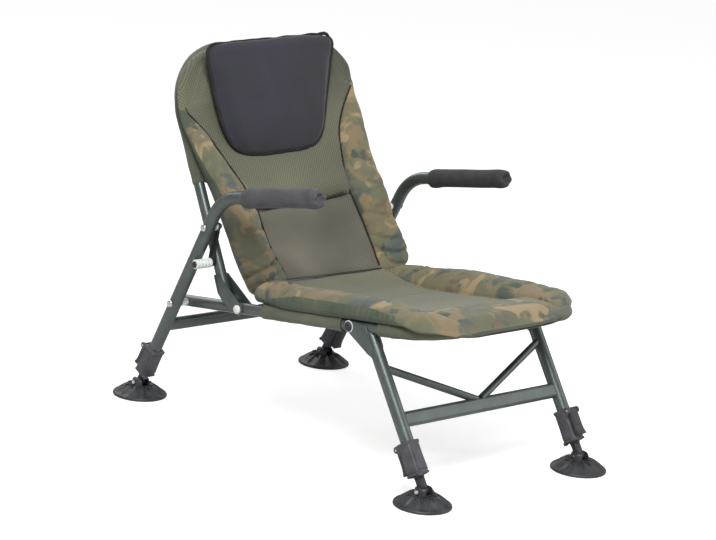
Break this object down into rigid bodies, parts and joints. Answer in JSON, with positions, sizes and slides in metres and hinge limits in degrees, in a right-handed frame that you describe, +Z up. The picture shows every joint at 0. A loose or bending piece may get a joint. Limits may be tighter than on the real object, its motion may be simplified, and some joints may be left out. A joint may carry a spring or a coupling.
{
  "type": "folding fishing chair",
  "caption": "Low folding fishing chair with padded seat, back and head pillow, foam armrests, a linked folding back and telescopic legs on swivelling mud feet.",
  "frame": {"origin": "on the ground, at the middle of the footprint box of the chair", "axes": "+Z up, the sitter faces -Y, +X to the sitter's left"},
  "size_m": [0.672, 0.9681, 0.803],
  "materials": {
    "frame_paint": "dark grey-green satin metallic powder coat",
    "black_steel": "black satin",
    "bright_steel": "bright zinc plate",
    "clamp_plastic": "moulded black nylon, faintly violet",
    "foot_plastic": "moulded black plastic, slight sheen",
    "white_nylon": "natural white nylon",
    "grip_foam": "dark grey cellular foam, matt",
    "sling_cloth": "olive coated woven cloth",
    "cover_cloth": "padded olive and brown camouflage cloth with mesh panels",
    "pillow_cloth": "soft charcoal microfibre with black piping"
  },
  "bodies": {
    "seat": {"seat_frame": "frame_paint", "seat_sling": "sling_cloth", "seat_pad": "cover_cloth", "rear_pivot_bolt_right": "bright_steel", "rear_pivot_bolt_left": "bright_steel", "rear_pivot_spacer_right": "white_nylon", "rear_pivot_spacer_left": "white_nylon", "back_pivot_bolt_right": "bright_steel", "back_pivot_bolt_left": "bright_steel", "front_pivot_bolt_right": "bright_steel", "front_pivot_bolt_left": "bright_steel"},
    "back": {"backrest_frame": "frame_paint", "back_plate_outer_right": "frame_paint", "back_plate_inner_right": "frame_paint", "back_plate_outer_left": "frame_paint", "back_plate_inner_left": "frame_paint", "back_sling": "sling_cloth", "back_pad": "cover_cloth", "head_pillow": "pillow_cloth", "back_tube_bolt_right": "black_steel", "back_tube_bolt_left": "black_steel"},
    "rear_legs": {"rear_leg_right": "frame_paint", "rear_leg_left": "frame_paint", "arm_grip_right": "grip_foam", "arm_grip_left": "grip_foam", "rear_crossbar": "frame_paint", "link_washer_right": "white_nylon", "link_washer_left": "white_nylon", "link_bolt_right": "bright_steel", "link_bolt_left": "bright_steel", "clamp_rear_right": "clamp_plastic", "clamp_rear_left": "clamp_plastic"},
    "links": {"stay_link_right": "black_steel", "stay_link_left": "black_steel", "stop_roller_right": "white_nylon", "stop_roller_left": "white_nylon"},
    "front_legs": {"front_leg_right": "frame_paint", "front_leg_left": "frame_paint", "front_crossbar": "frame_paint", "front_brace_right": "frame_paint", "front_brace_left": "frame_paint", "clamp_front_right": "clamp_plastic", "clamp_front_left": "clamp_plastic"},
    "extension_front_right": {"inner_leg_front_right": "black_steel"},
    "extension_front_left": {"inner_leg_front_left": "black_steel"},
    "extension_rear_right": {"inner_leg_rear_right": "black_steel"},
    "extension_rear_left": {"inner_leg_rear_left": "black_steel"},
    "lever_front_right": {"clamp_lever_front_right": "clamp_plastic"},
    "lever_front_left": {"clamp_lever_front_left": "clamp_plastic"},
    "lever_rear_right": {"clamp_lever_rear_right": "clamp_plastic"},
    "lever_rear_left": {"clamp_lever_rear_left": "clamp_plastic"},
    "foot_front_right": {"mud_foot_front_right": "foot_plastic", "foot_pin_front_right": "bright_steel"},
    "foot_front_left": {"mud_foot_front_left": "foot_plastic", "foot_pin_front_left": "bright_steel"},
    "foot_rear_right": {"mud_foot_rear_right": "foot_plastic", "foot_pin_rear_right": "bright_steel"},
    "foot_rear_left": {"mud_foot_rear_left": "foot_plastic", "foot_pin_rear_left": "bright_steel"}
  },
  "joints": [
    {"name": "backrest_fold", "type": "hinge", "parent": "seat", "child": "back", "pos_m": [0, 0.155, 0.259], "axis": [1, 0, 0], "range_deg": [0, 101], "deforming": ["seat_pad", "back_pad", "head_pillow"]},
    {"name": "rear_leg_fold", "type": "hinge", "parent": "seat", "child": "rear_legs", "pos_m": [0, 0.3261, 0.23343], "axis": [1, 0, 0], "range_deg": [0, 37.2]},
    {"name": "link_swing", "type": "hinge", "parent": "rear_legs", "child": "links", "pos_m": [0, 0.23503, 0.42266], "axis": [-1, 0, 0], "range_deg": [0, 132.8]},
    {"name": "front_leg_fold", "type": "hinge", "parent": "seat", "child": "front_legs", "pos_m": [0, -0.18621, 0.30999], "axis": [1, 0, 0], "range_deg": [0, 102]},
    {"name": "extend_front_right", "type": "slide", "parent": "front_legs", "child": "extension_front_right", "axis": [0, -0.5664, -0.8241], "range_m": [-0.007, 0.11]},
    {"name": "extend_front_left", "type": "slide", "parent": "front_legs", "child": "extension_front_left", "axis": [0, -0.5664, -0.8241], "range_m": [-0.007, 0.11]},
    {"name": "extend_rear_right", "type": "slide", "parent": "rear_legs", "child": "extension_rear_right", "axis": [0, 0.4337, -0.9011], "range_m": [-0.003, 0.11]},
    {"name": "extend_rear_left", "type": "slide", "parent": "rear_legs", "child": "extension_rear_left", "axis": [0, 0.4337, -0.9011], "range_m": [-0.003, 0.11]},
    {"name": "open_lever_front_right", "type": "hinge", "parent": "front_legs", "child": "lever_front_right", "pos_m": [-0.232, -0.34815, 0.10032], "axis": [1, 0, 0], "range_deg": [0, 90]},
    {"name": "open_lever_front_left", "type": "hinge", "parent": "front_legs", "child": "lever_front_left", "pos_m": [0.232, -0.38573, 0.12615], "axis": [-1, 0, 0], "range_deg": [0, 90]},
    {"name": "open_lever_rear_right", "type": "hinge", "parent": "rear_legs", "child": "lever_rear_right", "pos_m": [-0.276, 0.40378, 0.12459], "axis": [1, 0, 0], "range_deg": [0, 90]},
    {"name": "open_lever_rear_left", "type": "hinge", "parent": "rear_legs", "child": "lever_rear_left", "pos_m": [0.276, 0.36269, 0.10481], "axis": [-1, 0, 0], "range_deg": [0, 90]},
    {"name": "swivel_foot_front_right", "type": "hinge", "parent": "extension_front_right", "child": "foot_front_right", "pos_m": [-0.232, -0.42415, 0.03], "axis": [1, 0, 0], "range_deg": [-20, 20]},
    {"name": "swivel_foot_front_left", "type": "hinge", "parent": "extension_front_left", "child": "foot_front_left", "pos_m": [0.232, -0.42415, 0.03], "axis": [1, 0, 0], "range_deg": [-20, 20]},
    {"name": "swivel_foot_rear_right", "type": "hinge", "parent": "extension_rear_right", "child": "foot_rear_right", "pos_m": [-0.276, 0.424, 0.03], "axis": [1, 0, 0], "range_deg": [-20, 20]},
    {"name": "swivel_foot_rear_left", "type": "hinge", "parent": "extension_rear_left", "child": "foot_rear_left", "pos_m": [0.276, 0.424, 0.03], "axis": [1, 0, 0], "range_deg": [-20, 20]}
  ],
  "couplings": [
    {"joint": "rear_leg_fold", "follows": "backrest_fold", "ratio": 0.367},
    {"joint": "link_swing", "follows": "backrest_fold", "ratio": 1.313}
  ]
}
